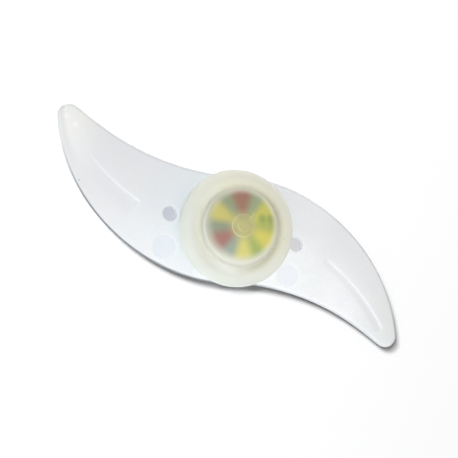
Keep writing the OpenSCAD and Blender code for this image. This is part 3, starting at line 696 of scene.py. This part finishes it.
def cap_marks(m, base):
    """Light lines round the pip's two steps, a scratch along its own direction and a dark speck."""
    outer_line = (m.out - 3.95).size().between(0.05, 0.22)
    inner_line = (m.out - 2.2).size().between(0.05, 0.2) + 0.5
    base = m.mix((1 - outer_line.least(inner_line)) * 0.45, base, "e6e3c6")
    start, way = (1.54, 2.43), (0.492, 0.871)
    beside = ((m.x - start[0]) * way[1] - (m.y - start[1]) * way[0]).size()
    run = (m.x - start[0]) * way[0] + (m.y - start[1]) * way[1]
    scratch = (1 - beside.between(0.08, 0.26)) * run.between(0.0, 0.5) * (1 - run.between(2.8, 3.4))
    base = m.mix(scratch * 0.4, base, "e6e3c6")
    speck = (1 - m.away_from((16.8, 0)).between(0.10, 0.28)) * m.z.between(11, 12)
    return m.mix(speck * 0.5, base, "7c7c72")


def silicone():
    """Rubber tones with painted light and shade outside, the fields in the crown's window, small marks, over
    deep scattering.
    """
    m = Recipe("frosted_silicone")
    in_window = (1 - m.away_from((-0.05, 0.7)).between(9.7, 13.4)) * m.z.between(15.2, 16.8)
    base = cap_marks(m, m.mix(in_window, rubber_with_painted_light(m), window_tones(m)))
    return m.finish(Base_Color=base, Roughness=m.noise(700, 2) * 0.12 + 0.42, bump=m.noise(1900, 2),
                    bump_height=0.000008, Subsurface_Weight=0.8, Subsurface_Scale=0.0030,
                    Subsurface_Radius=(1.0, 1.0, 0.9), Specular_IOR_Level=0.35)


frosted = silicone()
print("material:", frosted.name, "with", len(frosted.node_tree.nodes), "nodes")

# %% [markdown]
# ## The soft cap
# The cap is one silicone moulding: a foot on the wing, a fat round brim, a soft valley, a raised crown with a
# wide rounded edge and a pip in two small steps. It is hollow and grips the bead. Pushing the pip bends only
# the crown. Its whole section is one closed profile, turned round the axis.

# %% Curves of the crown
brim_z, brim_mid, tube_r = land_z + 2.7, 16.9, 3.6
crown_r, crown_z, crown_edge, edge_turn, bulge = 13.25, ring_top + 3.524, 2.2, 78, 1.3
pip, pip_top, rise = 3.9, 2.15, 0.35
dome_edge = crown_r - crown_edge * (1 - np.cos(np.radians(edge_turn)))
dome_z = crown_z + crown_edge * np.sin(np.radians(edge_turn))
dome_radius = (dome_edge ** 2 + bulge ** 2) / (2 * bulge)


def crown_height(r, down=0.0):
    """Height of the crown at a distance from the axis: a slice of a large ball, lowered by down."""
    return dome_z + bulge - dome_radius + np.sqrt((dome_radius - down) ** 2 - np.asarray(r, float) ** 2)


def along(start, stop, count, down=0.0):
    """Points [r, height] on the crown, evenly spaced in r."""
    r = np.linspace(start, stop, count)
    return np.stack([r, crown_height(r, down)], 1)


def round_corner(corner, before, after, radius, steps=4):
    """A corner drawn as a soft curve: from a point before it to one after it, pulled towards the corner."""
    corner, before, after = [np.asarray(p, float) for p in (corner, before, after)]
    a = corner + (before - corner) / np.linalg.norm(before - corner) * radius
    b = corner + (after - corner) / np.linalg.norm(after - corner) * radius
    t = np.linspace(0, 1, steps + 1)[:, None]
    return (1 - t) ** 2 * a + 2 * t * (1 - t) * corner + t * t * b


def step_up(r, base, rise):
    """One small step of the pip with a soft foot and a soft edge."""
    foot, edge = (r, base), (r - 0.03, base + rise)
    return np.vstack([round_corner(foot, (r + 1, base - 0.02), edge, 0.14),
                      round_corner(edge, foot, (r - 1, base + rise), 0.16)])


print("the crown's ball has a radius of", round(dome_radius, 1), "mm")

# %% The cap's profile
foot_r, skin, roof_r, hollow_r, cap_gap = 18.2, 1.3, 11.5, 12.4, 0.1
pocket_z, pocket_r = ring_top + 5.2, 2.0
# From the brim's end to the crown's wall, with the two corners that pull the curve down between them
valley = np.array([[14.78, 13.91], [14.05, 13.40], [crown_r, 13.9], [crown_r, crown_z - 1.2]])
outside = np.vstack([
    [[neck_r + cap_gap, land_z], [foot_r, land_z]], arc((brim_mid, brim_z), tube_r, -30, 126, 44),
    cubic(valley, np.linspace(0, 1, 12)[1:]),
    arc((crown_r - crown_edge, crown_z), crown_edge, 0, edge_turn, 12),
    along(dome_edge, pip + 0.3, 14)[1:],
    step_up(pip, crown_height(pip), rise), along(pip - 0.4, pip_top + 0.3, 4) + [0, rise],
    step_up(pip_top, crown_height(pip_top) + rise, rise), along(pip_top - 0.4, 0.0, 5) + [0, 2 * rise]])
inside_of_cap = np.vstack([
    [[0, pocket_z], [pocket_r, pocket_z]], along(pocket_r + 0.12, roof_r, 8, skin),
    [[hollow_r, crown_height(roof_r, skin) - 0.6], [hollow_r, ring_top], [neck_r + cap_gap, ring_top],
     [neck_r + cap_gap, bead_z + bead_foot], [bead_r + cap_gap, bead_z + bead_flat],
     [bead_r + cap_gap, bead_z - bead_flat], [neck_r + cap_gap, bead_z - bead_foot]]])
cap_points, cap_faces = turn_profile(np.vstack([outside, inside_of_cap]), 180)
cap_skin = make_piece("cap_skin", cap_points, cap_faces, frosted, body=None, sharp=50)
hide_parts("front_cap")
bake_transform(cap_skin)

# %% [markdown]
# ## Finishes of the inner pieces
# The cap hides them, but the light can be taken apart, so each piece gets its own finish. Plastics, rubber,
# resin and ceramics differ in only a few numbers: two close tones that a noise mixes, and a roughness. Metal
# has fine rings, the film its coloured fields, and the board a pattern like tracks under green lacquer.

# %% Finishes for small pieces
def dress(material, *names):
    """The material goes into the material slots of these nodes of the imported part."""
    for name in names:
        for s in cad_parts[name].material_slots:
            s.material = material


def small_finish(name, tone, other, rough, **more):
    """Two close tones in soft clouds, and a fine grain that stands up by five thousandths of a mm."""
    m = Recipe(name)
    cloud = m.noise(450, 3)
    return m.finish(Base_Color=m.mix(cloud.between(0.3, 0.7), tone, other), Roughness=cloud * 0.15 + rough,
                    bump=m.noise(1500, 2), bump_height=0.000005, **more)


def drawn_steel(name, tone, other, rough):
    """Metal with fine rings from turning or drawing: a noise of the distance from the axis and the height."""
    m = Recipe(name)
    ring_place = m.add("CombineXYZ", None, {0: m.out * 0.03, 2: m.z * 0.03})
    rings = m.noise(60, where=ring_place)
    return m.finish(Base_Color=m.mix(rings.between(0.3, 0.7), tone, other), Roughness=rings * 0.15 + rough,
                    Metallic=1.0, bump=rings, bump_height=0.000004)


def printed_film():
    """The coloured fields with crisp borders, slightly uneven as print is."""
    m = Recipe("printed_film")
    painted = m.mix(m.noise(3000, 1) * 0.12, painted_fields(m, 0.15), "ffffff")
    return m.finish(Base_Color=painted, Roughness=m.noise(800, 1) * 0.1 + 0.25)


def solder_mask():
    """Green lacquer over copper: staggered fields with a lighter line between them, like tracks."""
    m = Recipe("solder_mask")
    field, next_field, track = [(*colour(code), 1) for code in ("1f6b40", "237447", "2f8a57")]
    tracks = m.add("TexBrick", {"offset": 0.5}, {"Vector": m.place, "Scale": 240.0, "Mortar Size": 0.06,
                                                "Color1": field, "Color2": next_field, "Mortar": track})
    return m.finish(Base_Color=tracks, Roughness=m.noise(600, 2) * 0.1 + 0.3, bump=m.noise(1200, 2))

# %% Dress the inner pieces
dress(small_finish("clear_plastic", "eef0f2", "e8ebee", 0.12, Transmission_Weight=0.85, IOR=1.49),
      "inner_cover")
dress(small_finish("lamp_resin", "f2f5f8", "e9edf2", 0.06, Transmission_Weight=0.8, IOR=1.52),
      "led_right", "led_left")
dress(drawn_steel("drawn_steel", "b9bbbe", "a6a9ad", 0.25), "switch_dome", "switch_plate", "coin_cell")
dress(drawn_steel("plated_strip", "cfd1d3", "bfc2c5", 0.2), "cell_clip", "cell_spring")
dress(drawn_steel("screw_steel", "94979b", "83868a", 0.3), "cover_screws")
dress(printed_film(), "colour_disc")
dress(small_finish("white_moulding", "e6e6e1", "dcdcd6", 0.38), "plunger")
dress(solder_mask(), "circuit_board")
dress(small_finish("black_moulding", "26272a", "1e1f22", 0.45), "switch_base")
dress(small_finish("dark_moulding", "3b3d41", "323438", 0.42), "switch_stem")
dress(small_finish("cured_resin", "16171a", "1d1e21", 0.14), "control_chip")
dress(small_finish("dark_ceramic", "222428", "2c2e33", 0.35), "resistor_a", "resistor_b")
dress(small_finish("tan_ceramic", "b58e60", "a98253", 0.4), "capacitor")
dress(small_finish("seal_rubber", "27282b", "303135", 0.6), "cover_seal")
dress(milky, "back_cover")
print("finishes:", len(bpy.data.materials))

# %% [markdown]
# ## The floor
# The photograph is a cut-out on white with a soft dark shadow along the lower edges. The floor is grey and
# has lamps of its own that are strong enough to turn it white, so where the part stands in their way the
# floor stays darker. A small share of plain white is mixed in where it is seen. Through the two tie holes
# the picture shows a flat pale disc, so two discs of painted light lie on the floor where the camera looks
# through the holes, standing in for light that comes through the plastic around them, and there the share
# is high.

# %% A white floor
floor_side, floor_z, floor_grey = 1.2, -0.00005, (0.38, 0.38, 0.383, 1)
shown_white, shown_disc = 0.02, 0.93


def white_floor():
    """Lit grey and plain white, mixed. The share of white is small and rises to shown_disc in two discs of
    painted light, whose places are where the camera looks through the holes."""
    m = Recipe("white_floor")
    lit = m.add("BsdfDiffuse", None, {"Color": floor_grey})
    # Painted light: two pale discs on the floor where the camera looks through the tie holes.
    painted_light_discs = 1 - m.away_from((-21.8, 1.0)).least(m.away_from((25.1, 1.0))).between(3.0, 5.0)
    through = m.mix(m.x.between(-1, 1), "cbd1d9", "dad9dc")
    glow = m.add("Emission", None, {"Color": m.mix(painted_light_discs, "ffffff", through), "Strength": 1.0})
    share = painted_light_discs * (shown_disc - shown_white) + shown_white
    return m.end(m.add("MixShader", None, {0: m.seen() * share, 1: lit, 2: glow}))


corners = [(x * floor_side, y * floor_side, floor_z) for x, y in ((-1, -1), (1, -1), (1, 1), (-1, 1))]
floor_mesh = bpy.data.meshes.new("floor")
floor_mesh.from_pydata(corners, [], [(0, 1, 2, 3)])
floor_mesh.materials.append(white_floor())
floor = bpy.data.objects.new("floor", floor_mesh)
bpy.context.scene.collection.objects.link(floor)
print("floor:", 2 * floor_side, "m wide")

# %% [markdown]
# ## The light
# In the picture the edges that face left and down are bright, so a broad lamp stands low on that side, and a
# second one almost above the part fills its front. The shadow is short and lies below the lower edges, which
# needs a smaller and steeper light from the upper left. So the floor has two lamps of its own. The cap blocks
# only the steeper of them, because real silicone lets much light through. The world fills the rest at half
# strength, and is white to the camera and in gloss. Directions are given as seen in the picture, then turned
# into the part's own.

# %% Lamps and world
def lamp_from(name, to_right, to_up, to_camera, level, size, lights, shaded_by, tone=(1, 1, 1), away=2.0):
    """A square area lamp that looks at the hub from a direction given as seen in the picture. level is how
    bright a white surface becomes that faces it, so the lamp's power is level times pi squared times the
    distance squared. It lights the group lights and is blocked by the group shaded_by."""
    data = bpy.data.lights.new(name, "AREA")
    data.energy, data.size, data.color = level * np.pi ** 2 * away ** 2, size, tone
    towards = (right * to_right + up * to_up + back * to_camera).normalized()
    turned = towards.to_track_quat("Z", "Y").to_matrix().to_4x4()
    lamp_object = bpy.data.objects.new(name, data)
    lamp_object.matrix_world = Matrix.Translation(towards * away) @ turned
    bpy.context.scene.collection.objects.link(lamp_object)
    lamp_object.light_linking.receiver_collection = lights
    lamp_object.light_linking.blocker_collection = shaded_by


def all_but(name, left_out):
    """A group for a lamp: everything except this object."""
    group = bpy.data.collections.new(name)
    group.objects.link(left_out)
    group.collection_objects[0].light_linking.link_state = "EXCLUDE"
    return group


only_floor = bpy.data.collections.new("only_floor")
only_floor.objects.link(floor)
all_but_floor = all_but("all_but_floor", floor)
past_cap = all_but("past_cap", cap_skin)
lamp_from("floor_lamp", -0.28, 0.385, 0.95, 1.72, 0.34, only_floor, past_cap)
lamp_from("floor_lamp_steep", -0.17, 0.25, 1.0, 0.94, 0.28, only_floor, None)
lamp_from("low_left", -0.66, -0.72, 0.75, 0.52, 1.5, all_but_floor, past_cap, (0.94, 0.98, 1.0))
lamp_from("above", 0.15, 0.20, 1.0, 0.38, 1.4, all_but_floor, past_cap, (1.0, 0.99, 0.97))
world = bpy.data.worlds.new("studio")
bpy.context.scene.world = world
sky = Recipe("studio", world)
fill, white = [sky.add("Background", None, {"Color": (1, 1, 1, 1), "Strength": k}) for k in (0.50, 1.0)]
sky.end(sky.add("MixShader", None, {0: sky.seen(), 1: fill, 2: white}), "World")
bpy.context.scene.view_settings.view_transform = "Standard"
